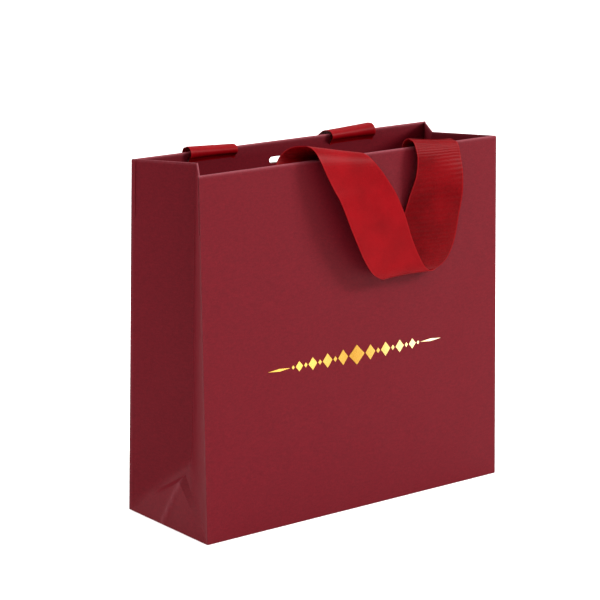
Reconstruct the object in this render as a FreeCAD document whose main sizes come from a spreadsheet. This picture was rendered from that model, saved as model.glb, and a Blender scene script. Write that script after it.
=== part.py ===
import FreeCAD, Part
import math
import os
import Sketcher
from FreeCAD import Placement, Rotation, Vector

# Paper gift bag with folded gussets, a card bottom and two satin ribbon handles.
# Frame: +Z up, the origin is the centre of the base on the table, the front panel faces -Y.
# All sizes are in millimetres.

DRIVING = {
    "bagWidth": 250.0,
    "bagHeight": 240.0,
    "baseDepth": 90.0,
    "mouthDepth": 75.0,
    "paper": 0.5,
    "boardThick": 1.0,
    "bottomThick": 1.6,
    "hemDepth": 38.0,
    "footRise": 29.0,
    "footTuck": 9.5,
    "kneeRise": 45.0,
    "kneeTuck": 18.0,
    "mouthTuck": 24.5,
    "ribbonWidth": 38.0,
    "ribbonThick": 0.6,
    "tailDrop": 33.0,
    "slitDrop": 5.5,
    "slitHeight": 5.0,
    "frontHingeRise": 6.0,
    "backHingeRise": 3.5,
    "slotWidth": 30.0,
    "slotHeight": 4.5,
    "slotDrop": 12.7,
    "seamWidth": 15.0,
    "flapReach": 55.0,
    "ornamentWidth": 150.0,
    "ornamentRise": 106.0,
    "foilThick": 0.2,
}

doc = FreeCAD.newDocument("GiftBag")
sheet = doc.addObject("Spreadsheet::Sheet", "Sizes")
for row, (alias, value) in enumerate(DRIVING.items(), start=1):
    sheet.set(f"A{row}", alias)
    sheet.set(f"B{row}", str(value))
    sheet.setAlias(f"B{row}", alias)
doc.recompute()


def size(alias):
    return float(sheet.get(alias))


# The leaning panels.
# Both big panels lean in from the base to the narrower mouth.  A point of a panel is given
# as u (along X from its centre), inward (from its outer face into the bag) and up (along it).

halfBase = size("baseDepth") / 2
lean = math.asin((size("baseDepth") - size("mouthDepth")) / 2 / size("bagHeight"))
panelLength = size("bagHeight") / math.cos(lean)
leanRotation = Rotation(Vector(1, 0, 0), -math.degrees(lean))
FACING = {"front": 0.0, "back": 180.0}


def panelPlacement(facing):
    """Placement that carries the panel's own u, inward, up frame into the bag."""
    turn = Rotation(Vector(0, 0, 1), FACING[facing])
    foot = turn.multVec(Vector(0, -halfBase, 0))
    return Placement(foot, turn.multiply(leanRotation))


def setLabel(item, label):
    item.Label = label
    return item


nodes = []


def addPlate(label, facing, width, height, thick, inward, up, openings=()):
    """Flat sheet on a panel, with rectangular or round-ended openings cut through it."""
    body = setLabel(doc.addObject("PartDesign::Body", label), label)
    origin = {feature.Role: feature for feature in body.Origin.OriginFeatures}
    outline = body.newObject("Sketcher::SketchObject", label + "Outline")
    outline.AttachmentSupport = [(origin["XZ_Plane"], "")]
    outline.MapMode = "FlatFace"
    addRectangle(outline, f"({width}) / 2", "0", height)
    pad = body.newObject("PartDesign::Pad", label + "Pad")
    pad.Profile = outline
    pad.Reversed = True
    pad.setExpression("Length", thick)
    doc.recompute()
    for number, (centre, drop, wide, high, rounded) in enumerate(openings, start=1):
        cutSketch = body.newObject("Sketcher::SketchObject", f"{label}Opening{number}")
        cutSketch.AttachmentSupport = [(origin["XZ_Plane"], "")]
        cutSketch.MapMode = "FlatFace"
        bottom = f"({height}) - ({drop}) - ({high}) / 2"
        if rounded:
            addRoundSlot(cutSketch, wide, high, bottom)
        else:
            addRectangle(cutSketch, f"({wide}) / 2", bottom, high, centre)
        pocket = body.newObject("PartDesign::Pocket", f"{label}Cut{number}")
        pocket.Profile = cutSketch
        pocket.Type = "ThroughAll"
        pocket.Midplane = True
        doc.recompute()
    body.Placement = panelPlacement(facing).multiply(Placement(Vector(0, inward, up), Rotation()))
    nodes.append(body)
    return body


def addRectangle(sketch, halfWidth, bottom, height, centre="0"):
    """Rectangle bound to the sheet: half width, bottom edge, height and centre along X."""
    corners = [Vector(-10, 1, 0), Vector(10, 1, 0), Vector(10, 11, 0), Vector(-10, 11, 0)]
    for start in range(4):
        sketch.addGeometry(Part.LineSegment(corners[start], corners[(start + 1) % 4]), False)
    for start in range(4):
        sketch.addConstraint(Sketcher.Constraint("Coincident", start, 2, (start + 1) % 4, 1))
    for start, kind in enumerate(("Horizontal", "Vertical", "Horizontal", "Vertical")):
        sketch.addConstraint(Sketcher.Constraint(kind, start))
    bounds = (
        ("DistanceX", 0, 1, f"({centre}) - ({halfWidth})", -10),
        ("DistanceX", 0, 2, f"({centre}) + ({halfWidth})", 10),
        ("DistanceY", 0, 1, bottom, 1),
        ("DistanceY", 2, 1, f"({bottom}) + ({height})", 11),
    )
    for kind, edge, vertex, expression, value in bounds:
        index = sketch.addConstraint(Sketcher.Constraint(kind, -1, 1, edge, vertex, value))
        sketch.setExpression(f"Constraints[{index}]", expression)


def addRoundSlot(sketch, width, height, bottom):
    """Round-ended slot centred on X = 0."""
    sketch.addGeometry(Part.LineSegment(Vector(-10, 1, 0), Vector(10, 1, 0)), False)
    sketch.addGeometry(Part.ArcOfCircle(Part.Circle(Vector(10, 3, 0), Vector(0, 0, 1), 2),
                                        -math.pi / 2, math.pi / 2), False)
    sketch.addGeometry(Part.LineSegment(Vector(10, 5, 0), Vector(-10, 5, 0)), False)
    sketch.addGeometry(Part.ArcOfCircle(Part.Circle(Vector(-10, 3, 0), Vector(0, 0, 1), 2),
                                        math.pi / 2, 3 * math.pi / 2), False)
    for edge, arc in ((0, 1), (2, 3)):
        sketch.addConstraint(Sketcher.Constraint("Tangent", edge, 2, arc, 1))
        sketch.addConstraint(Sketcher.Constraint("Tangent", arc, 2, (edge + 2) % 4, 1))
        sketch.addConstraint(Sketcher.Constraint("Horizontal", edge))
    bounds = (
        ("DistanceX", 0, 1, f"-(({width}) - ({height})) / 2", -10),
        ("DistanceX", 0, 2, f"(({width}) - ({height})) / 2", 10),
        ("DistanceY", 0, 1, bottom, 1),
        ("DistanceY", 2, 1, f"({bottom}) + ({height})", 5),
    )
    for kind, edge, vertex, expression, value in bounds:
        index = sketch.addConstraint(Sketcher.Constraint(kind, -1, 1, edge, vertex, value))
        sketch.setExpression(f"Constraints[{index}]", expression)


SLIT_CENTRES = {"front": (-42.0, 64.0), "back": (-56.0, 63.0)}
panelHeight = f"{panelLength:.4f}"
slotOpening = ("0", "Sizes.slotDrop", "Sizes.slotWidth", "Sizes.slotHeight", True)
footClear = 0.02  # the lean would dip the inner bottom edge below the table by this much
paper = size("paper")
board = size("boardThick")
tailInward = paper + board + 0.1
hemInward = tailInward + size("ribbonThick") + 0.2
hemFoot = panelLength - size("hemDepth")

for facing in FACING:
    addPlate(f"{facing}_panel", facing, "Sizes.bagWidth", f"{panelHeight} - {footClear}", "Sizes.paper",
             0, footClear, [slotOpening])
    addPlate(f"{facing}_stiffener_card", facing, "Sizes.bagWidth - 4", "Sizes.hemDepth - 2", "Sizes.boardThick",
             paper, hemFoot + 1.5, [("0", "Sizes.slotDrop - 0.5", "Sizes.slotWidth", "Sizes.slotHeight", True)])
    slits = [(str(centre), "Sizes.slitDrop", "Sizes.ribbonWidth + 6",
              "Sizes.slitHeight", False) for centre in SLIT_CENTRES[facing]]
    addPlate(f"{facing}_turned_hem", facing, "Sizes.bagWidth - 8", "Sizes.hemDepth", "Sizes.paper",
             hemInward, hemFoot, slits + [slotOpening])


# Sheets that bend in space.

def solidFromTriangles(points, triangles):
    faces = []
    for triangle in triangles:
        ring = [points[corner] for corner in triangle]
        faces.append(Part.Face(Part.makePolygon(ring + ring[:1])))
    shell = Part.makeShell(faces)
    solid = Part.makeSolid(shell)
    if solid.Volume < 0:
        solid.reverse()
    return solid


def addShape(label, shape, placement=Placement()):
    feature = setLabel(doc.addObject("Part::Feature", label), label)
    feature.Shape = shape
    feature.Placement = placement
    nodes.append(feature)
    return feature


def foldedSheet(ring, facets, thickness):
    """Sheet of flat triangles on the given ring of points, thickened along one vector."""
    count = len(ring)
    points = list(ring) + [point + thickness for point in ring]
    triangles = [tuple(facet) for facet in facets]
    triangles += [tuple(corner + count for corner in reversed(facet)) for facet in facets]
    for start in range(count):
        after = (start + 1) % count
        triangles.append((start, after, after + count))
        triangles.append((start, after + count, start + count))
    return solidFromTriangles(points, triangles)


# Gussets.
# Each side folds inward along an upright mid crease, above a foot triangle.

halfWidth = size("bagWidth") / 2
height = size("bagHeight")
panelGap = paper + 0.05
creaseGap = 0.05


def edgePoint(rise):
    """Point of a gusset's front edge, just behind the front panel, measured from the left side."""
    return Vector(0, -halfBase + panelGap + rise * math.tan(lean), rise)


def creasePoint(rise):
    """Point of the mid crease between the knee and the mouth."""
    share = (rise - size("kneeRise")) / (height - size("kneeRise"))
    tuck = size("kneeTuck") + share * (size("mouthTuck") - size("kneeTuck"))
    return Vector(tuck, -creaseGap, rise)


def placeOnSide(point, side, facing):
    """Move a point of the left front quarter to the quarter named by side and facing."""
    x = -halfWidth + point.x
    if side == "right":
        x = -x
    y = point.y if facing == "front" else -point.y
    return Vector(x, y, point.z)


def addGussetSheet(label, side, facing, ring, facets, inset=0.0):
    inward = Vector(1 if side == "left" else -1, 0, 0)
    placed = [placeOnSide(point, side, facing) + inward * inset for point in ring]
    addShape(label, foldedSheet(placed, facets, inward * paper))


hemBottom = height - size("hemDepth")
cardGap = hemInward + paper
for side in ("left", "right"):
    for facing in FACING:
        outline = [edgePoint(0), Vector(size("footTuck"), -creaseGap, size("footRise")),
                   creasePoint(size("kneeRise")), creasePoint(height), edgePoint(height)]
        outline[0] += Vector(0, 0, 0.4)
        addGussetSheet(f"{side}_gusset_{facing}_half", side, facing, outline, [(0, 1, 2), (0, 2, 4), (2, 3, 4)])
        hemRing = [edgePoint(hemBottom), creasePoint(hemBottom), creasePoint(height), edgePoint(height)]
        hemRing[0] += Vector(0, cardGap, 0)
        hemRing[3] += Vector(0, cardGap, 0)
        addGussetSheet(f"{side}_gusset_{facing}_hem", side, facing, hemRing, [(0, 1, 3), (1, 2, 3)], 2.4)
    footRing = [Vector(0, -halfBase + 1.2, 0), Vector(size("footTuck"), 0, size("footRise") - 0.6),
                Vector(0, halfBase - 1.2, 0)]
    inward = Vector(1 if side == "left" else -1, 0, 0)
    placed = [placeOnSide(point, side, "front") for point in footRing]
    addShape(f"{side}_foot_triangle", foldedSheet(placed, [(0, 1, 2)], inward * paper))

seamRise = 70.0
seamFoot = edgePoint(seamRise) + Vector(0, 0.3, 0)
seamHead = edgePoint(hemBottom - 2) + Vector(0, 0.3, 0)
seamRing = [seamFoot, seamFoot + (creasePoint(seamRise) - edgePoint(seamRise)).normalize() * size("seamWidth"),
            seamHead + (creasePoint(hemBottom) - edgePoint(hemBottom)).normalize() * size("seamWidth"), seamHead]
addGussetSheet("side_seam_flap", "left", "back", seamRing, [(0, 1, 3), (1, 2, 3)], 1.6)


# Bottom.

def addBox(label, length, width, thick, corner):
    box = setLabel(doc.addObject("Part::Box", label), label)
    box.setExpression("Length", length)
    box.setExpression("Width", width)
    box.setExpression("Height", thick)
    box.setExpression("Placement.Base.x", corner[0])
    box.setExpression("Placement.Base.y", corner[1])
    box.setExpression("Placement.Base.z", corner[2])
    nodes.append(box)
    return box


wall = "Sizes.paper + 0.7"
innerWidth = "Sizes.bagWidth - 2 * (Sizes.paper + 0.7)"
flapDepth = "Sizes.flapReach"
leftEdge = "-Sizes.bagWidth / 2 + " + wall
frontEdge = "-Sizes.baseDepth / 2 + " + wall
addBox("bottom_flap_front", innerWidth, flapDepth, "Sizes.paper", (leftEdge, frontEdge, "0"))
addBox("bottom_flap_back", innerWidth, flapDepth, "Sizes.paper",
       (leftEdge, "Sizes.baseDepth / 2 - Sizes.paper - 0.7 - Sizes.flapReach", "Sizes.paper"))
tuckDepth = "Sizes.baseDepth - 2 * (Sizes.paper + 0.7)"
tuckLength = "Sizes.baseDepth / 2"
addBox("bottom_tuck_left", tuckLength, tuckDepth, "Sizes.paper", (leftEdge, frontEdge, "2 * Sizes.paper"))
addBox("bottom_tuck_right", tuckLength, tuckDepth, "Sizes.paper",
       ("Sizes.bagWidth / 2 - Sizes.paper - 0.7 - Sizes.baseDepth / 2", frontEdge, "2 * Sizes.paper"))
addBox("bottom_board", "Sizes.bagWidth - 6", "Sizes.baseDepth - 6", "Sizes.bottomThick",
       ("-Sizes.bagWidth / 2 + 3", "-Sizes.baseDepth / 2 + 3", "3 * Sizes.paper"))


# Ribbon handles.
# A station is (centre u, width along X, inward, up from the panel's top edge, twist).
# Inward below zero stands in front of the panel, and twist is how much further out the
# ribbon's right edge stands than its left edge.

def ribbonSolid(stations, thickness):
    """Flat ribbon through the stations, thickened square to its own run."""
    runs = [Vector(0, station[2], station[3]) for station in stations]
    points = []
    for index, (centre, width, inward, up, twist) in enumerate(stations):
        before = runs[max(index - 1, 0)]
        after = runs[min(index + 1, len(runs) - 1)]
        along = (after - before).normalize()
        across = Vector(0, along.z, -along.y) * (thickness / 2)
        for level in (-1, 1):
            for hand in (-0.5, 0.5):
                edge = Vector(centre + hand * width, inward - hand * twist, panelLength + up)
                points.append(edge + across * level)
    triangles = [(0, 1, 3), (0, 3, 2)]
    last = 4 * (len(stations) - 1)
    triangles += [(last, last + 3, last + 1), (last, last + 2, last + 3)]
    for index in range(len(stations) - 1):
        near, far = 4 * index, 4 * index + 4
        for first, second in ((0, 1), (1, 3)):
            triangles.append((near + first, far + first, far + second))
            triangles.append((near + first, far + second, near + second))
        # the inner face is split along the same diagonal as the outer one, so a twist can't cross them
        for first, second in ((3, 2), (2, 0)):
            triangles.append((near + first, far + first, near + second))
            triangles.append((near + second, far + first, far + second))
    return solidFromTriangles(points, triangles)


ribbon = size("ribbonWidth")
thin = size("ribbonThick")
tailLine = tailInward + thin / 2

# What each tail does once it has left its slit: (shift along X, inward, up).
ARCHES = {
    "front": {
        "left": [(0.4, 5.0, -3.6), (2.4, 8.2, -1.4), (6.0, 9.0, 1.2),
                 (11.0, 7.6, 3.4), (16.0, 4.6, 5.0), (19.6, 2.4, 5.4)],
        "right": [(0.0, 4.4, -3.8), (0.5, 5.6, -1.8), (1.2, 5.6, 0.2), (2.0, 4.2, 2.0), (2.5, 2.4, 2.9)],
    },
    "back": {
        "left": [(0.0, 4.4, -4.2), (0.2, 5.4, -2.2), (0.4, 5.2, -0.2), (0.8, 4.0, 1.5), (1.0, 2.4, 2.3)],
        "right": [(0.0, 4.4, -4.2), (0.0, 5.4, -2.2), (0.0, 5.2, -0.2), (0.0, 4.0, 1.5), (0.0, 2.4, 2.3)],
    },
}

# Each loop comes down in front, rolls over at the bottom and climbs behind its first leg.
LOOPS = {
    "front": [
        (-20.2, 39.5, -1.4, 5.5, 0.0),
        (-19.0, 40.0, -4.4, 4.8, 0.0),
        (-17.4, 41.0, -7.4, 2.6, 0.0),
        (-14.8, 42.5, -9.6, -2.2, 1.0),
        (-9.8, 44.5, -11.0, -10.0, 1.0),
        (-4.8, 46.0, -12.0, -18.5, 0.0),
        (0.2, 47.0, -13.0, -27.0, 0.0),
        (6.2, 47.0, -13.4, -40.0, 0.0),
        (13.6, 46.0, -13.0, -57.0, 0.0),
        (19.6, 45.5, -12.0, -68.0, 0.0),
        (26.5, 44.5, -10.8, -77.5, 0.0),
        (33.0, 43.0, -9.4, -82.0, 0.0),
        (38.0, 42.0, -7.9, -83.4, 0.0),
        (44.5, 42.0, -6.3, -82.0, 0.0),
        (51.0, 42.5, -5.4, -77.5, 2.0),
        (55.5, 43.0, -5.4, -70.5, 5.0),
        (57.5, 43.0, -5.8, -62.0, 8.0),
        (59.8, 42.0, -7.0, -49.0, 9.0),
        (63.0, 40.0, -8.4, -34.0, 9.0),
        (66.2, 38.5, -8.6, -20.0, 4.0),
        (67.2, 38.0, -7.2, -8.5, 0.0),
        (67.1, 38.0, -5.4, -1.5, 0.0),
        (66.8, 38.0, -3.2, 1.6, 0.0),
        (66.6, 38.0, -1.4, 2.8, 0.0),
    ],
    "back": [
        (-55.0, 38.0, -1.4, 3.2, 0.0),
        (-54.0, 38.0, -3.6, 2.0, 0.0),
        (-52.0, 38.5, -5.4, -1.6, 0.0),
        (-47.0, 40.0, -7.8, -9.0, 0.0),
        (-38.0, 43.0, -10.2, -22.0, 0.0),
        (-28.0, 46.0, -11.0, -34.0, 0.0),
        (-17.0, 47.0, -11.0, -46.0, 0.0),
        (-6.0, 48.0, -11.0, -58.0, 0.0),
        (5.0, 47.0, -11.0, -69.0, 0.0),
        (15.0, 45.0, -10.8, -78.0, 0.0),
        (23.0, 42.0, -9.6, -83.2, 0.0),
        (28.0, 41.0, -7.8, -85.2, 0.0),
        (33.0, 41.0, -6.2, -84.2, 0.0),
        (40.0, 44.0, -5.4, -79.0, 1.0),
        (47.0, 44.0, -5.6, -70.0, 4.0),
        (52.5, 43.0, -6.0, -58.0, 6.0),
        (57.0, 41.5, -6.4, -45.0, 6.0),
        (60.0, 40.0, -6.6, -31.0, 4.0),
        (62.0, 38.5, -6.6, -18.0, 2.0),
        (63.0, 38.0, -6.0, -8.0, 0.0),
        (63.0, 38.0, -5.0, -2.0, 0.0),
        (63.0, 38.0, -3.2, 1.6, 0.0),
        (63.0, 38.0, -1.4, 3.0, 0.0),
    ],
}

for facing in FACING:
    placement = panelPlacement(facing)
    for side, centre in zip(("left", "right"), SLIT_CENTRES[facing]):
        route = [(centre, ribbon, tailLine, -size("tailDrop"), 0.0), (centre, ribbon, tailLine, -7.6, 0.0)]
        for shift, inward, up in ARCHES[facing][side]:
            route.append((centre + shift, ribbon, inward, up, 0.0))
        addShape(f"{facing}_ribbon_tail_{side}", ribbonSolid(route, thin), placement)
    addShape(f"{facing}_ribbon_handle", ribbonSolid(LOOPS[facing], thin), placement)


# Foil ornament.

# Half width and half height of each lozenge from the middle outwards, the gap between two,
# and the half height of the tapering rule that ends each side.
LOZENGES = [(6.6, 6.8), (4.2, 5.2), (1.6, 1.9), (4.0, 4.9), (1.5, 1.8),
            (3.6, 4.3), (1.4, 1.7), (3.0, 3.5), (1.2, 1.4)]
LOZENGE_GAP = 0.9
RULE_RISE = 0.9


def addOrnament():
    """Hot-stamped foil line of shrinking lozenges between two tapering rules."""
    ornamentHalf = size("ornamentWidth") / 2
    middle = size("ornamentRise")
    foil = size("foilThick")
    pieces = []

    def kite(centre, reach, rise):
        ring = [Vector(centre - reach, -foil, middle), Vector(centre, -foil, middle - rise),
                Vector(centre + reach, -foil, middle), Vector(centre, -foil, middle + rise)]
        pieces.append(Part.Face(Part.makePolygon(ring + ring[:1])).extrude(Vector(0, foil, 0)))

    kite(0, *LOZENGES[0])
    for hand in (-1, 1):
        place = LOZENGES[0][0]
        for reach, rise in LOZENGES[1:]:
            place += reach + LOZENGE_GAP
            kite(hand * place, reach, rise)
            place += reach
        ruleReach = (ornamentHalf - place - 2 * LOZENGE_GAP) / 2
        kite(hand * (place + LOZENGE_GAP + ruleReach), ruleReach, RULE_RISE)
    addShape("foil_ornament", Part.makeCompound(pieces), panelPlacement("front"))


addOrnament()

doc.recompute()
for item in doc.Objects:
    if "Invalid" in item.State or "Error" in item.State:
        raise RuntimeError(f"{item.Label} failed to build: {item.State}")
for node in nodes:
    if node.Shape.isNull() or not node.Shape.isValid():
        raise RuntimeError(f"{node.Label} has no valid shape")

os.makedirs("parts", exist_ok=True)
for node in nodes:
    node.Shape.exportStep(f"parts/{node.Label}.step")
    print(f"{node.Label}: {node.Shape.Volume:.1f} mm3, {len(node.Shape.Solids)} solid(s)")
for facing in FACING:
    hinge = panelPlacement(facing).multVec(Vector(0, 0, panelLength + size(f"{facing}HingeRise")))
    print(f"{facing} ribbon swings about X through y {hinge.y:.2f}, z {hinge.z:.2f}")
print(f"{len(nodes)} parts written, lean {math.degrees(lean):.3f} degrees, panel length {panelLength:.2f} mm")
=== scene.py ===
import math

import bpy
from mathutils import Matrix, Vector


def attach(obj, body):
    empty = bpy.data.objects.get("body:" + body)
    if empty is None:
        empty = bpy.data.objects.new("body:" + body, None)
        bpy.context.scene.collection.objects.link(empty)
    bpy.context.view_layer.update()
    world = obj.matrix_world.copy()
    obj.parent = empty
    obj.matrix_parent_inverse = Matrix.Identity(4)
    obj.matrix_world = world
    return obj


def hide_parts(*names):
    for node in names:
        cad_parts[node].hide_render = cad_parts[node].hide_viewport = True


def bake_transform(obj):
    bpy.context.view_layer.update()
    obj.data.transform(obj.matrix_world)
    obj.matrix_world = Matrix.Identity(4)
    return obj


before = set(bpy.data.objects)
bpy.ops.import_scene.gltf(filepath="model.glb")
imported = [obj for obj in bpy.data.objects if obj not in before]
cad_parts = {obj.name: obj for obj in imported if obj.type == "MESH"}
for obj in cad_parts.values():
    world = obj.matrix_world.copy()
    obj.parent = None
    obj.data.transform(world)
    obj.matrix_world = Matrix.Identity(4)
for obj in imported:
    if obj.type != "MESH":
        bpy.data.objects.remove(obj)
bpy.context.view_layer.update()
print("frame loaded")

# sizes of the bag in metres, as the CAD frame has them
bag = {
    "width": 0.250,
    "height": 0.240,
    "baseDepth": 0.090,
    "mouthDepth": 0.075,
    "paper": 0.0004,
    "hemDepth": 0.038,
    "hemInward": 0.0029,
}
halfWidth = bag["width"] / 2
halfBase = bag["baseDepth"] / 2
lean = math.asin((bag["baseDepth"] - bag["mouthDepth"]) / 2 / bag["height"])
panelLength = bag["height"] / math.cos(lean)


def panelPoint(facing, across, inward, up):
    # across runs along X from the panel's centre, inward into the bag, up along the leaning panel
    side = -1 if facing == "front" else 1
    y = -halfBase + up * math.sin(lean) + inward * math.cos(lean)
    z = up * math.cos(lean) - inward * math.sin(lean)
    return Vector((-side * across, -side * y, z))


def smoothStep(value):
    value = min(max(value, 0.0), 1.0)
    return value * value * (3 - 2 * value)


def along(values, share):
    # value of a list at a share of its length, straight between its entries
    place = share * (len(values) - 1)
    index = min(int(place), len(values) - 2)
    part = place - index
    first, second = values[index], values[index + 1]
    if isinstance(first, (tuple, list)):
        return tuple(a + (b - a) * part for a, b in zip(first, second))
    return first + (second - first) * part


def curveThrough(points, share):
    # smooth curve through every point, in equal steps of share
    place = share * (len(points) - 1)
    index = min(int(place), len(points) - 2)
    t = place - index
    p0 = points[max(index - 1, 0)]
    p1, p2 = points[index], points[index + 1]
    p3 = points[min(index + 2, len(points) - 1)]
    out = []
    for a, b, c, d in zip(p0, p1, p2, p3):
        out.append(0.5 * (2 * b + (c - a) * t + (2 * a - 5 * b + 4 * c - d) * t * t
                          + (3 * b - a - 3 * c + d) * t * t * t))
    return out


def deselectAll():
    if bpy.context.object and bpy.context.object.mode != "OBJECT":
        bpy.ops.object.mode_set(mode="OBJECT")
    bpy.ops.object.select_all(action="DESELECT")


def makeActive(piece):
    deselectAll()
    piece.select_set(True)
    bpy.context.view_layer.objects.active = piece


def applyModifier(piece, kind, **settings):
    makeActive(piece)
    modifier = piece.modifiers.new(kind.title(), kind)
    for key, value in settings.items():
        setattr(modifier, key, value)
    bpy.ops.object.modifier_apply(modifier=modifier.name)


def layGrid(name, columns, rows, place, wearAndHighlightAt=None):
    # a grid whose vertices are laid on the surface that place(u, v) gives, u and v from 0 to 1
    deselectAll()
    bpy.ops.mesh.primitive_grid_add(x_subdivisions=columns, y_subdivisions=rows, size=2, calc_uvs=True)
    piece = bpy.context.object
    piece.name = name
    piece.data.name = name
    # each vertex gets its share of the pale fold tint, partly wear and partly painted highlight
    wearAndHighlight = piece.data.attributes.new("foldWearAndHighlight", "FLOAT", "POINT")
    for vertex in piece.data.vertices:
        u = (vertex.co.x + 1) / 2
        v = (vertex.co.y + 1) / 2
        vertex.co = place(u, v)
        wearAndHighlight.data[vertex.index].value = wearAndHighlightAt(u, v) if wearAndHighlightAt else 0.0
    return piece


def finishSheet(piece, thickness, flip=False, merge=0.00002, reverse=0):
    makeActive(piece)
    bpy.ops.object.mode_set(mode="EDIT")
    bpy.ops.mesh.select_all(action="SELECT")
    bpy.ops.mesh.remove_doubles(threshold=merge)
    if flip:
        bpy.ops.mesh.flip_normals()
    bpy.ops.object.mode_set(mode="OBJECT")
    applyModifier(piece, "SOLIDIFY", thickness=thickness, offset=-1, use_even_offset=False,
                  material_offset=reverse)
    # the inner edge of a leaning sheet would dip a hair below the table
    for vertex in piece.data.vertices:
        vertex.co.z = max(vertex.co.z, 0.0)


def smoothByAngle(piece, degrees=28):
    makeActive(piece)
    bpy.ops.object.shade_smooth_by_angle(angle=math.radians(degrees))


# materials

def linear(hexColour):
    channels = [int(hexColour[i:i + 2], 16) / 255 for i in (1, 3, 5)]
    return tuple(c / 12.92 if c <= 0.04045 else ((c + 0.055) / 1.055) ** 2.4 for c in channels) + (1.0,)


def addNode(tree, kind, links=None, **settings):
    # one node with its settings; links maps its inputs to the outputs that feed them
    node = tree.nodes.new(kind)
    for key, value in settings.items():
        if hasattr(node, key):
            setattr(node, key, value)
        else:
            node.inputs[key.replace("_", " ")].default_value = value
    for name, source in (links or {}).items():
        tree.links.new(source, node.inputs[name])
    return node


def newMaterial(name):
    material = bpy.data.materials.new(name)
    material.use_nodes = True
    tree = material.node_tree
    return material, tree, tree.nodes["Principled BSDF"]


def rampOf(tree, source, stops):
    node = addNode(tree, "ShaderNodeValToRGB", {"Fac": source})
    ramp = node.color_ramp
    while len(ramp.elements) < len(stops):
        ramp.elements.new(0.5)
    for element, (position, colour) in zip(ramp.elements, stops):
        element.position = position
        element.color = linear(colour) if isinstance(colour, str) else (colour, colour, colour, 1)
    return node.outputs["Color"]


paperLook = {
    "shade": "#600915",
    "shadeDark": "#4F0510",
    # pale fold tint: partly cracked ink, partly a painted highlight on the folds
    "wornAndHighlight": "#7E4048",
    "grainMm": 0.9,
    "cloudMm": 26.0,
    "waveMm": 70.0,
    "laidMm": 1.3,
    "streakMm": 3.2,
    "chipMm": 2.2,
    "wornAndHighlightStrength": 1.15,
    "roughness": (0.46, 0.60),
    "fineBump": 0.22,
    "fineDepth": 0.00015,
    "broadBump": 0.35,
    "broadDepth": 0.0016,
    "specular": 0.08,      # well under the usual 0.5, to match the photo's matte film
}


def makePaper(look):
    # matte film on coated art paper, offset printed: even deep red, a soft low gloss,
    # faint print mottle, and a pale tint where it is folded, partly cracked ink and partly a painted
    # highlight
    material, tree, shader = newMaterial("matteLaminatedArtPaper")
    where = addNode(tree, "ShaderNodeTexCoord").outputs["Object"]
    grain = addNode(tree, "ShaderNodeTexNoise", {"Vector": where}, Scale=1000 / look["grainMm"], Detail=3.0,
                    Roughness=0.6)
    cloud = addNode(tree, "ShaderNodeTexNoise", {"Vector": where}, Scale=1000 / look["cloudMm"], Detail=4.0,
                    Roughness=0.55)
    wave = addNode(tree, "ShaderNodeTexNoise", {"Vector": where}, Scale=1000 / look["waveMm"], Detail=1.0)
    # the sheet's own direction: fibres and coating streaks run level round the bag
    laid = addNode(tree, "ShaderNodeMapping", {"Vector": where})
    laid.inputs["Scale"].default_value = (1 / look["streakMm"], 1 / look["streakMm"], 1 / look["laidMm"])
    streak = addNode(tree, "ShaderNodeTexNoise", {"Vector": laid.outputs["Vector"]}, Scale=1000.0, Detail=4.0,
                     Roughness=0.7)
    mottle = addNode(tree, "ShaderNodeMath", {0: grain.outputs["Fac"], 1: streak.outputs["Fac"]},
                     operation="ADD")
    half = addNode(tree, "ShaderNodeMath", {0: mottle.outputs[0]}, operation="MULTIPLY")
    half.inputs[1].default_value = 0.5
    body = rampOf(tree, half.outputs[0], [(0.35, look["shadeDark"]), (0.65, look["shade"])])
    # pale tint along the folds, partly wear and partly painted highlight
    wearAndHighlight = addNode(tree, "ShaderNodeAttribute", attribute_name="foldWearAndHighlight").outputs["Fac"]
    chip = addNode(tree, "ShaderNodeTexNoise", {"Vector": where}, Scale=1000 / look["chipMm"], Detail=5.0,
                   Roughness=0.7)
    wearAndHighlightMask = addNode(tree, "ShaderNodeMath", {0: wearAndHighlight, 1: chip.outputs["Fac"]}, operation="MULTIPLY")
    strength = addNode(tree, "ShaderNodeMath", {0: wearAndHighlightMask.outputs[0]}, operation="MULTIPLY", use_clamp=True)
    strength.inputs[1].default_value = look["wornAndHighlightStrength"]
    mixed = addNode(tree, "ShaderNodeMix", data_type="RGBA")
    tree.links.new(strength.outputs[0], mixed.inputs["Factor"])
    tree.links.new(body, mixed.inputs[6])
    mixed.inputs[7].default_value = linear(look["wornAndHighlight"])
    tree.links.new(mixed.outputs[2], shader.inputs["Base Color"])
    gloss = addNode(tree, "ShaderNodeMapRange", {"Value": cloud.outputs["Fac"]})
    gloss.inputs["To Min"].default_value, gloss.inputs["To Max"].default_value = look["roughness"]
    tree.links.new(gloss.outputs["Result"], shader.inputs["Roughness"])
    fine = addNode(tree, "ShaderNodeBump", {"Height": half.outputs[0]}, Strength=look["fineBump"],
                   Distance=look["fineDepth"])
    broad = addNode(tree, "ShaderNodeBump", {"Height": wave.outputs["Fac"], "Normal": fine.outputs["Normal"]},
                    Strength=look["broadBump"], Distance=look["broadDepth"])
    tree.links.new(broad.outputs["Normal"], shader.inputs["Normal"])
    shader.inputs["Specular IOR Level"].default_value = look["specular"]
    return material


cardLook = {
    "light": "#8E887D",
    "dark": "#6B655C",
    "fibreMm": 1.6,
    "bump": 0.3,
    "depth": 0.0001,
    "roughness": 0.85,
}


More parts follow.
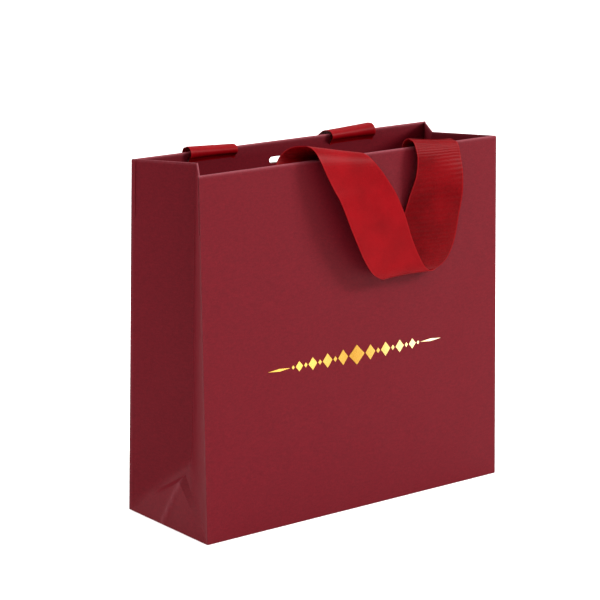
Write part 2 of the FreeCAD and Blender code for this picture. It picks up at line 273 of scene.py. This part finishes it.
def makeCard(look):
    # uncoated grey board pressed from recycled pulp: dull, with short fibres and specks
    material, tree, shader = newMaterial("uncoatedGreyBoard")
    where = addNode(tree, "ShaderNodeTexCoord").outputs["Object"]
    fibre = addNode(tree, "ShaderNodeTexNoise", {"Vector": where}, Scale=1000 / look["fibreMm"], Detail=6.0,
                    Roughness=0.7, Distortion=1.2)
    tree.links.new(rampOf(tree, fibre.outputs["Fac"], [(0.35, look["dark"]), (0.65, look["light"])]),
                   shader.inputs["Base Color"])
    bump = addNode(tree, "ShaderNodeBump", {"Height": fibre.outputs["Fac"]}, Strength=look["bump"],
                   Distance=look["depth"])
    tree.links.new(bump.outputs["Normal"], shader.inputs["Normal"])
    shader.inputs["Roughness"].default_value = look["roughness"]
    return material


ribbonLook = {
    "warp": "#760209",
    "warpDark": "#660106",
    "selvedge": "#78060C",
    "ribMm": 2.3,
    "threadMm": 0.55,      # the real threads are about 0.2 mm, drawn coarser so that they show
    "slubMm": 1.1,
    "softMm": 18,
    "wobbleScale": 14.0,
    "wobble": 0.006,
    "border": 0.478,       # share of the width from the middle where the selvedge starts
    "threadBump": 0.18,
    "threadDepth": 0.00008,
    "ribBump": 0.03,
    "ribDepth": 0.00022,
    "slubBump": 0.2,
    "slubDepth": 0.0001,
    "roughness": 0.42,
    "specular": 0.03,      # well under the usual 0.5, to match the depth of red in the photo
    "width": 0.038,
}
# the back of the ribbon: a ribbed weave, with its red set darker, partly as painted shade for the legs turned
# from the light
ribbonReverseWithPaintedShade = dict(ribbonLook, warp="#660106", warpDark="#500003", selvedge="#6E050A", ribBump=0.22)


def makeRibbon(look, name, length):
    # woven polyester satin: fine warp threads run along the ribbon, weft bars cross it, the
    # selvedge at each edge is a shade apart, and slight slubs break up the red
    material, tree, shader = newMaterial(name)
    uv = addNode(tree, "ShaderNodeUVMap", uv_map="UVMap").outputs["UV"]
    parts = addNode(tree, "ShaderNodeSeparateXYZ", {"Vector": uv})
    threads = addNode(tree, "ShaderNodeMath", {0: parts.outputs["X"]}, operation="MULTIPLY")
    threads.inputs[1].default_value = 2 * math.pi * look["width"] * 1000 / look["threadMm"]
    threadWave = addNode(tree, "ShaderNodeMath", {0: threads.outputs[0]}, operation="SINE")
    wobble = addNode(tree, "ShaderNodeTexNoise", {"Vector": uv}, Scale=look["wobbleScale"], Detail=2.0)
    bent = addNode(tree, "ShaderNodeMath", {0: wobble.outputs["Fac"]}, operation="MULTIPLY")
    bent.inputs[1].default_value = look["wobble"]
    reach = addNode(tree, "ShaderNodeMath", {0: parts.outputs["Y"], 1: bent.outputs[0]}, operation="ADD")
    ribs = addNode(tree, "ShaderNodeMath", {0: reach.outputs[0]}, operation="MULTIPLY")
    ribs.inputs[1].default_value = 2 * math.pi * length * 1000 / look["ribMm"]
    ribWave = addNode(tree, "ShaderNodeMath", {0: ribs.outputs[0]}, operation="SINE")
    where = addNode(tree, "ShaderNodeTexCoord").outputs["Object"]
    slub = addNode(tree, "ShaderNodeTexNoise", {"Vector": where}, Scale=1000 / look["slubMm"], Detail=4.0,
                   Roughness=0.65)
    soft = addNode(tree, "ShaderNodeTexNoise", {"Vector": where}, Scale=1000 / look["softMm"], Detail=2.0)
    blendIn = addNode(tree, "ShaderNodeMath", {0: slub.outputs["Fac"], 1: soft.outputs["Fac"]},
                      operation="ADD")
    halved = addNode(tree, "ShaderNodeMath", {0: blendIn.outputs[0]}, operation="MULTIPLY")
    halved.inputs[1].default_value = 0.5
    body = rampOf(tree, halved.outputs[0], [(0.36, look["warpDark"]), (0.60, look["warp"])])
    middle = addNode(tree, "ShaderNodeMath", {0: parts.outputs["X"]}, operation="SUBTRACT")
    middle.inputs[1].default_value = 0.5
    off = addNode(tree, "ShaderNodeMath", {0: middle.outputs[0]}, operation="ABSOLUTE")
    border = addNode(tree, "ShaderNodeMath", {0: off.outputs[0]}, operation="GREATER_THAN")
    border.inputs[1].default_value = look["border"]
    mixed = addNode(tree, "ShaderNodeMix", data_type="RGBA")
    tree.links.new(border.outputs[0], mixed.inputs["Factor"])
    tree.links.new(body, mixed.inputs[6])
    mixed.inputs[7].default_value = linear(look["selvedge"])
    tree.links.new(mixed.outputs[2], shader.inputs["Base Color"])
    threadBump = addNode(tree, "ShaderNodeBump", {"Height": threadWave.outputs[0]},
                         Strength=look["threadBump"], Distance=look["threadDepth"])
    ribBump = addNode(tree, "ShaderNodeBump",
                      {"Height": ribWave.outputs[0], "Normal": threadBump.outputs["Normal"]},
                      Strength=look["ribBump"], Distance=look["ribDepth"])
    slubBump = addNode(tree, "ShaderNodeBump",
                       {"Height": slub.outputs["Fac"], "Normal": ribBump.outputs["Normal"]},
                       Strength=look["slubBump"], Distance=look["slubDepth"])
    tree.links.new(slubBump.outputs["Normal"], shader.inputs["Normal"])
    shader.inputs["Roughness"].default_value = look["roughness"]
    shader.inputs["Specular IOR Level"].default_value = look["specular"]
    return material


foilLook = {
    # run: painted reflection, gold brightening to near white along the line
    "run": [(0.0, "#D9A94E"), (0.22, "#DDB25A"), (0.48, "#A87B30"),
            (0.62, "#C39A4C"), (0.80, "#EBD292"), (1.0, "#F8E9C0")],
    "reach": 0.075,
    "dull": 0.88,
    "pressMm": 1.4,
    "roughness": (0.18, 0.38),
    "bump": 0.25,
    "depth": 0.0002,
}


def makeFoil(look):
    # aluminium foil lacquered gold and hot stamped into the paper: bright metal with a slightly
    # uneven press, so that the gleam breaks up along the line
    material, tree, shader = newMaterial("hotStampedGoldFoil")
    where = addNode(tree, "ShaderNodeTexCoord").outputs["Object"]
    press = addNode(tree, "ShaderNodeTexNoise", {"Vector": where}, Scale=1000 / look["pressMm"], Detail=3.0)
    # the change from full gold to almost white along the line is put in as colour; in the photo it
    # looks like a reflection, of something that this stage doesn't have
    place = addNode(tree, "ShaderNodeSeparateXYZ", {"Vector": where})
    share = addNode(tree, "ShaderNodeMapRange", {"Value": place.outputs["X"]})
    share.inputs["From Min"].default_value = -look["reach"]
    share.inputs["From Max"].default_value = look["reach"]
    shade = addNode(tree, "ShaderNodeMix", data_type="RGBA", blend_type="MULTIPLY")
    tree.links.new(press.outputs["Fac"], shade.inputs["Factor"])
    tree.links.new(rampOf(tree, share.outputs["Result"], look["run"]), shade.inputs[6])
    shade.inputs[7].default_value = (look["dull"], look["dull"], look["dull"], 1)
    tree.links.new(shade.outputs[2], shader.inputs["Base Color"])
    rough = addNode(tree, "ShaderNodeMapRange", {"Value": press.outputs["Fac"]})
    rough.inputs["To Min"].default_value, rough.inputs["To Max"].default_value = look["roughness"]
    tree.links.new(rough.outputs["Result"], shader.inputs["Roughness"])
    bump = addNode(tree, "ShaderNodeBump", {"Height": press.outputs["Fac"]}, Strength=look["bump"],
                   Distance=look["depth"])
    tree.links.new(bump.outputs["Normal"], shader.inputs["Normal"])
    shader.inputs["Metallic"].default_value = 1.0
    return material


paper = makePaper(paperLook)
card = makeCard(cardLook)
foil = makeFoil(foilLook)
print("materials made")


def giveMaterial(piece, material):
    piece.data.materials.clear()
    piece.data.materials.append(material)


# the two big panels, each one sheet that turns over at the top into its hem

panelSettings = {
    "foldRadius": 0.00145,
    "foldRise": 0.0010,
    "hemShortfall": 0.008,
    "edgeSteps": (0.0, 0.0005, 0.0016),
    "slotWidth": 0.030,
    "slotHeight": 0.0044,
    "slotDrop": 0.0127,
    "slotCutAt": 0.0015,
    "slotCutDepth": 0.012,
    "slitCentres": {"front": (-0.042, 0.064), "back": (-0.056, 0.063)},
    "slitWidth": 0.0384,
    "slitHeight": 0.003,
    "slitDrop": 0.0055,
    "slitCutDepth": 0.0018,
}
foldStart, foldShoulder = 0.0022, 0.0012    # how far under the top the fold starts to turn and tightens


def turnedPath(topLength, steps, hemDrop, radius, rise):
    # (inward, up, pale fold tint: partly wear, partly painted highlight) down the outside, over the fold and
    # down the hem
    path = []
    for index in range(steps + 1):
        share = index / steps
        path.append((0.0, (topLength - foldStart) * share, 0.0))
    # the pale fold tint, partly wear and partly painted highlight, peaks over the top of the fold
    path.append((0.0, topLength - foldShoulder, 0.25))
    for index in range(9):
        angle = math.pi * index / 8
        inward = radius * (1 - math.cos(angle))
        path.append((inward, topLength - rise + rise * math.sin(angle), 0.35 + 0.65 * math.sin(angle)))
    path.append((2 * radius, topLength - foldStart, 0.1))
    for index in range(1, 7):
        path.append((2 * radius, topLength - foldStart - (hemDrop - foldStart) * index / 6, 0.0))
    return path


def edgeColumns(reach, steps, fine):
    # column places from -reach to reach, with fine ones beside each edge
    inner = [(-reach + fine[-1]) + 2 * (reach - fine[-1]) * index / steps for index in range(steps + 1)]
    left = [-reach + step for step in fine[:-1]]
    return left + inner + [-place for place in reversed(left)]


def cutWith(piece, cutters):
    for cutter in cutters:
        applyModifier(piece, "BOOLEAN", object=cutter, operation="DIFFERENCE", solver="EXACT")
        bpy.data.objects.remove(cutter)


def cutterBox(facing, across, inward, up, width, depth, high, roundEnds=False):
    deselectAll()
    if roundEnds:
        bpy.ops.mesh.primitive_cylinder_add(vertices=32, radius=high / 2, depth=depth,
                                            rotation=(math.pi / 2, 0, 0))
    else:
        bpy.ops.mesh.primitive_cube_add(size=1)
    cutter = bpy.context.object
    bpy.ops.object.transform_apply(location=True, rotation=True, scale=True)
    for vertex in cutter.data.vertices:
        if roundEnds:
            shift = (width - high) / 2 * (1 if vertex.co.x > 1e-6 else -1)
            place = (across + vertex.co.x + shift, inward + vertex.co.y, up + vertex.co.z)
        else:
            place = (across + vertex.co.x * width, inward + vertex.co.y * depth, up + vertex.co.z * high)
        vertex.co = panelPoint(facing, *place)
    makeActive(cutter)
    bpy.ops.object.mode_set(mode="EDIT")
    bpy.ops.mesh.select_all(action="SELECT")
    bpy.ops.mesh.normals_make_consistent(inside=False)
    bpy.ops.object.mode_set(mode="OBJECT")
    return cutter


def makePanel(facing, settings):
    path = turnedPath(panelLength, 30, bag["hemDepth"], settings["foldRadius"], settings["foldRise"])
    columns = edgeColumns(halfWidth, 50, settings["edgeSteps"])

    def place(u, v):
        inward, up, wearAndHighlight = along(path, v)
        across = along(columns, u)
        # the hem is cut a little short of the corners, clear of the gusset folds
        across *= 1 - settings["hemShortfall"] * smoothStep(inward / bag["hemInward"] * 1.2 - 0.2)
        return panelPoint(facing, across, inward, up)

    def wearAndHighlightAt(u, v):
        return along(path, v)[2]

    piece = layGrid(f"{facing}_panel_sheet", len(columns) - 1, len(path) - 1, place, wearAndHighlightAt)
    finishSheet(piece, bag["paper"])
    slotUp = panelLength - settings["slotDrop"]
    cutters = [cutterBox(facing, 0, settings["slotCutAt"], slotUp, settings["slotWidth"],
                         settings["slotCutDepth"], settings["slotHeight"], True)]
    for centre in settings["slitCentres"][facing]:
        cutters.append(cutterBox(facing, centre, bag["hemInward"], panelLength - settings["slitDrop"],
                                 settings["slitWidth"], settings["slitCutDepth"], settings["slitHeight"]))
    cutWith(piece, cutters)
    smoothByAngle(piece)
    giveMaterial(piece, paper)
    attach(piece, "bag")
    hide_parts(f"{facing}_panel", f"{facing}_turned_hem")
    return piece


for facing in ("front", "back"):
    makePanel(facing, panelSettings)
print("panels folded")


# gussets: two halves meeting at the tucked mid crease, above a foot triangle

gussetSettings = {
    "footRise": 0.0290,
    "footTuck": 0.0094,
    "quickTuck": 0.0110,   # how much further in the crease goes just above the foot
    "quickRise": 0.0060,
    "slowTuck": 0.0042,    # and over the rest of the height
    "gap": 0.0006,
    "ridge": 0.0009,
    "foldWidth": 0.0012,
    "ridgeShare": 0.17,    # where the foot's ridge starts, as a share of the half depth
}


def gussetTuck(settings, above):
    full = bag["height"] - settings["footRise"]
    return (settings["footTuck"] + settings["quickTuck"] * (1 - math.exp(-above / settings["quickRise"]))
            + settings["slowTuck"] * above / full)


def makeGusset(side, settings):
    mirror = 1 if side == "left" else -1
    footRows = 12
    foldRadius = settings["foldWidth"] / 2
    path = turnedPath(bag["height"], 56, bag["hemDepth"], foldRadius, foldRadius)
    shares = edgeColumns(1.0, 36, (0.0, 0.012, 0.05))

    def place(u, v):
        spread = along(shares, u)
        middle = 1 - abs(spread)
        sign = 1 if spread > 0 else -1
        creaseRise = settings["footRise"] * middle
        row = v * (footRows + len(path) - 1)
        if row <= footRows:
            share = row / footRows
            rise = creaseRise * share
            depth = halfBase - settings["gap"] - rise * math.tan(lean) * 0.5
            tuck = settings["footTuck"] * middle * share
            ridgeAt = settings["ridgeShare"] * (1 - share)
            ridge = math.exp(-((spread - ridgeAt) / 0.05) ** 2)
            ridge = ridge * smoothStep(share * 5) * smoothStep((1 - share) * 4)
            return Vector((mirror * (-halfWidth + tuck - settings["ridge"] * ridge), depth * spread, rise))
        inward, up, wearAndHighlight = along(path, (row - footRows) / (len(path) - 1))
        # the lower end of each column is drawn up to the foot crease
        rise = creaseRise + (up / bag["height"]) * (bag["height"] - creaseRise) if inward == 0 else up
        above = max(rise - creaseRise, 0.0)
        depth = halfBase - settings["gap"] - rise * math.tan(lean)
        fullTuck = gussetTuck(settings, above)
        slope = math.hypot(depth, fullTuck) / depth
        edgeX = inward * depth / math.hypot(depth, fullTuck)
        x = edgeX + (fullTuck + inward * slope - edgeX) * middle
        y = depth * (1 - middle) * sign
        return Vector((mirror * (-halfWidth + x), y, rise))

    def wearAndHighlightAt(u, v):
        spread = along(shares, u)
        row = v * (footRows + len(path) - 1)
        # pale line along the gusset's edge folds: partly wear, partly painted highlight
        edgeWearAndHighlight = 0.45 * max(0.0, 1 - (1 - abs(spread)) / 0.02)
        if row <= footRows:
            share = row / footRows
            # painted highlight along the ridge crease of the foot
            ridge = 0.5 * math.exp(-((spread - settings["ridgeShare"] * (1 - share)) / 0.035) ** 2)
            return max(edgeWearAndHighlight, ridge)
        inward, up, wearAndHighlight = along(path, (row - footRows) / (len(path) - 1))
        return max(wearAndHighlight, edgeWearAndHighlight)

    piece = layGrid(f"{side}_gusset_sheet", len(shares) - 1, footRows + len(path) - 1, place, wearAndHighlightAt)
    finishSheet(piece, bag["paper"], flip=side == "left")
    smoothByAngle(piece, 20)
    giveMaterial(piece, paper)
    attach(piece, "bag")
    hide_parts(f"{side}_gusset_front_half", f"{side}_gusset_back_half", f"{side}_foot_triangle",
                f"{side}_gusset_front_hem", f"{side}_gusset_back_hem")
    return piece


for side in ("left", "right"):
    makeGusset(side, gussetSettings)
print("gussets folded")


# ribbons: satin strips through stations given in millimetres as (centre, width along X,
# inward, up from the panel's top, twist, tilt); twist is how much further out the right edge
# stands than the left, tilt is how much higher the left edge stands than the right

ribbonSettings = {
    "bendReach": 5.0,
    "width": 0.038,
    "thick": 0.00045,
    "acrossSteps": 20,
    "loopSteps": 170,
    "tailSteps": 60,
    "curl": 0.0006,
    "endMargin": 0.2,
}

tailRoutes = {
    "front": {
        "left": [(-42, 38, 2, -33, 0, 0), (-42, 38, 2, -21, 0, 0),
                 (-42, 38, 2, -8.5, 0, 0), (-41.6, 38, 3.8, -3.8, 0, 0),
                 (-39.6, 38, 7.4, -1.6, 0, 2), (-36, 38, 9.3, 1, 0, 4), (-31, 38, 8.2, 3.9, 0, 6),
                 (-26, 38.5, 4.5, 5.4, 0, 7.5), (-20.6, 39.3, 0, 5.6, 0, 8)],
        "right": [(64, 38, 2, -33, 0, 0), (64, 38, 2, -21, 0, 0),
                  (64, 38, 2, -8.5, 0, 0), (64, 38, 3.4, -4.6, 0, 0),
                  (64.4, 38, 5.2, -2, 0, 1), (65, 38, 5.6, 0.2, 0, 2), (65.7, 38, 4.6, 1.9, 0, 3),
                  (66.3, 38, 2.6, 2.8, 0, 4), (66.6, 38, 0, 3, 0, 4)],
    },
    "back": {
        "left": [(-56, 38, 2, -33, 0, 0), (-56, 38, 2, -21, 0, 0),
                 (-56, 38, 2, -8.5, 0, 0), (-56, 38, 3.4, -4.8, 0, 0),
                 (-56, 38, 5.2, -2.6, 0, 0), (-55.8, 38, 5.4, -0.6, 0, 0.6), (-55.6, 38, 4.4, 1.2, 0, 1.2),
                 (-55.4, 38, 2.4, 2.3, 0, 1.6), (-55.2, 38, 0, 2.6, 0, 1.8)],
        "right": [(63, 38, 2, -33, 0, 0), (63, 38, 2, -21, 0, 0),
                  (63, 38, 2, -8.5, 0, 0), (63, 38, 3.4, -4.8, 0, 0),
                  (63, 38, 5.2, -2.8, 0, -0.6), (63, 38, 5.4, -0.8, 0, -1.2), (63, 38, 4.2, 0.9, 0, -1.8),
                  (63, 38, 2.4, 1.8, 0, -2), (63, 38, 0, 2, 0, -2)],
    },
}
loopRoutes = {
    "front": [
        (-20.6, 39.3, 0, 5.6, 0, 8), (-19.2, 40, -3.8, 5, 0, 7),
        (-17.4, 41, -7, 2.9, 0, 5), (-14.8, 42.5, -9.6, -1.8, 0.6, 3),
        (-9.8, 44.5, -11, -10, 1, 1), (-4.8, 46, -12, -18.5, 0.5, 0),
        (0.2, 47, -13, -27, 0, 0), (6.2, 47.5, -13.4, -40, 0, 0),
        (9.8, 47, -13.3, -48.5, 0, 0), (13.6, 46, -13, -57, 0, 0),
        (19.6, 45.5, -12, -68, 0, 0), (26.5, 44.5, -10.8, -77.5, 0, 0),
        (33, 43, -9.4, -82, 0, 0), (38, 42, -7.9, -83.4, 0, 0),
        (45.5, 42, -6.3, -82.8, 0, 0), (53, 42, -5.4, -78.5, 2, 0),
        (57, 42, -5.4, -70.5, 5, 0), (58.5, 42.5, -5.8, -61, 8, 0),
        (59.8, 42, -7, -49, 9, 0), (63, 40, -8.4, -34, 9, 0),
        (66.2, 38.5, -8.6, -20, 4, 0), (67.2, 38, -7.2, -8.5, 0, 1),
        (67.1, 38, -5.4, -1.5, 0, 2), (66.9, 38, -3, 2.2, 0, 3.5),
        (66.6, 38, 0, 3, 0, 4)],
    "back": [
        (-55.2, 38, 0, 2.6, 0, 1.8), (-54.4, 38, -2.8, 1.9, 0, 1.6),
        (-52.4, 38.5, -5, -1.4, 0, 1), (-47, 40, -7.6, -9, 0, 0),
        (-38, 43, -10.2, -22, 0, 0), (-28, 46, -11, -34, 0, 0),
        (-17, 47, -11, -46, 0, 0), (-6, 48, -11, -58, 0, 0),
        (5, 47, -11, -69, 0, 0), (15, 45, -10.8, -78, 0, 0),
        (23, 42, -9.6, -83.2, 0, 0), (28, 41, -7.8, -85.2, 0, 0),
        (33, 41, -6.2, -84.2, 0, 0), (40, 44, -5.4, -79, 1, 0),
        (47, 44, -5.6, -70, 4, 0), (52.5, 43, -6, -58, 6, 0),
        (57, 41.5, -6.4, -45, 6, 0), (60, 40, -6.6, -31, 4, 0),
        (62, 38.5, -6.6, -18, 2, 0), (63, 38, -6, -8, 0, 0),
        (63, 38, -4.8, -2, 0, -1), (63, 38, -2.8, 1.2, 0, -1.8), (63, 38, 0, 2, 0, -2)],
}


def routeLength(route):
    total = 0.0
    previous = None
    for index in range(201):
        centre, width, inward, up, twist, tilt = curveThrough(route, index / 200)
        point = Vector((centre, inward, up)) / 1000
        if previous is not None:
            total += (point - previous).length
        previous = point
    return total


def layRibbon(name, facing, route, settings, steps, laidSide, farSide):
    def place(u, v):
        centre, width, inward, up, twist, tilt = [value / 1000 for value in curveThrough(route, v)]
        beforePoint = curveThrough(route, max(v - 0.004, 0))
        afterPoint = curveThrough(route, min(v + 0.004, 1))
        run = Vector((0, afterPoint[2] - beforePoint[2], afterPoint[3] - beforePoint[3])).normalized()
        across = u - 0.5
        # both edges curl a little, except where the piece meets its neighbour
        curl = settings["curl"] * (4 * across * across - 0.33) * smoothStep(v * 6) * smoothStep((1 - v) * 6)
        return panelPoint(facing, centre + across * width, inward - across * twist + curl * run.z,
                          panelLength + up - across * tilt - curl * run.y)

    piece = layGrid(name, settings["acrossSteps"], steps, place)
    # the surface as laid takes the first material, the side that the thickness adds takes the second
    piece.data.materials.append(laidSide)
    piece.data.materials.append(farSide)
    finishSheet(piece, settings["thick"], merge=0.000001, reverse=1)
    smoothByAngle(piece, 40)
    return piece


for facing in ("front", "back"):
    handleBody = f"{facing}_handle"
    length = routeLength(loopRoutes[facing])
    # the ribbed back, its darker red partly painted shade
    reverse = makeRibbon(ribbonReverseWithPaintedShade, f"ribbedRibbonReverse_{facing}", length)
    satin = makeRibbon(ribbonLook, f"satinRibbonFace_{facing}", length)
    loop = layRibbon(f"{facing}_ribbon_loop", facing, loopRoutes[facing], ribbonSettings,
                     ribbonSettings["loopSteps"], reverse, satin)
    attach(loop, handleBody)
    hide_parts(f"{facing}_ribbon_handle")
    for side, route in tailRoutes[facing].items():
        reach = routeLength(route)
        reverse = makeRibbon(ribbonReverseWithPaintedShade, f"ribbedRibbonReverse_{facing}_{side}", reach)
        satin = makeRibbon(ribbonLook, f"satinRibbonFace_{facing}_{side}", reach)
        tail = layRibbon(f"{facing}_ribbon_{side}_tail", facing, route, ribbonSettings,
                         ribbonSettings["tailSteps"], reverse, satin)
        # the last station is read, and the tail's placement is baked into its mesh
        centre, width, inward, up, twist, tilt = route[-1]
        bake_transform(tail)
        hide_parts(f"{facing}_ribbon_tail_{side}")
    print(facing, "ribbon laid, loop", round(length * 1000), "mm")


# pieces that keep their CAD shape

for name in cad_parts:
    piece = bpy.data.objects.get(name)
    if piece is None:
        continue
    if name == "foil_ornament":
        giveMaterial(piece, foil)
    elif "card" in name or name == "bottom_board":
        giveMaterial(piece, card)
    elif name.startswith("bottom_") or name == "side_seam_flap":
        giveMaterial(piece, paper)


# floor, light and camera

stageSettings = {
    "floor": "#FDFDFD",
    "world": 0.31,
    "lights": {
        "keyLight": {"at": (2.1, -1.5, 1.45), "aim": (0, 0, 0.12), "size": 0.8, "power": 118.0},
        "topLight": {"at": (0, 0.4, 3.0), "aim": (0, 0.4, 0), "size": 7.0, "power": 330.0},
        "fillLight": {"at": (-1.6, 1.4, 0.9), "aim": (0, 0, 0.12), "size": 1.0, "power": 21.0},
    },
    "cameraAt": (-0.9650, -1.2106, 0.5162),
    "lookAt": (-0.0096, 0.0075, 0.1350),
    "roll": 0.331,
    "lens": 141.65,
}


def makeStage(settings):
    deselectAll()
    bpy.ops.mesh.primitive_plane_add(size=24, location=(0, 0, -0.0001))
    floor = bpy.context.object
    floor.name = "studio_floor"
    bpy.ops.object.transform_apply(location=True, rotation=False, scale=False)
    material, tree, shader = newMaterial("paleStudioFloor")
    shader.inputs["Base Color"].default_value = linear(settings["floor"])
    shader.inputs["Roughness"].default_value = 0.9
    shader.inputs["Specular IOR Level"].default_value = 0.1
    giveMaterial(floor, material)
    world = bpy.data.worlds.new("softWhite")
    world.use_nodes = True
    world.node_tree.nodes["Background"].inputs["Color"].default_value = (1, 1, 1, 1)
    world.node_tree.nodes["Background"].inputs["Strength"].default_value = settings["world"]
    bpy.context.scene.world = world


def addLight(name, light):
    deselectAll()
    bpy.ops.object.light_add(type="AREA", location=light["at"])
    lamp = bpy.context.object
    lamp.name = name
    lamp.data.size = light["size"]
    lamp.data.energy = light["power"]
    lamp.rotation_euler = (Vector(light["aim"]) - Vector(light["at"])).to_track_quat("-Z", "Y").to_euler()


def makeCamera(settings):
    deselectAll()
    bpy.ops.object.camera_add(location=settings["cameraAt"])
    camera = bpy.context.object
    direction = Vector(settings["lookAt"]) - Vector(settings["cameraAt"])
    turn = direction.to_track_quat("-Z", "Y").to_matrix().to_4x4()
    turn = turn @ Matrix.Rotation(math.radians(settings["roll"]), 4, "Z")
    camera.rotation_euler = turn.to_euler()
    camera.data.lens = settings["lens"]
    camera.data.sensor_width = 36
    bpy.context.scene.camera = camera


# a plain tone curve, so that the white floor comes out white
bpy.context.scene.view_settings.view_transform = "Standard"
makeStage(stageSettings)
for name, light in stageSettings["lights"].items():
    addLight(name, light)
makeCamera(stageSettings)
print("stage set")
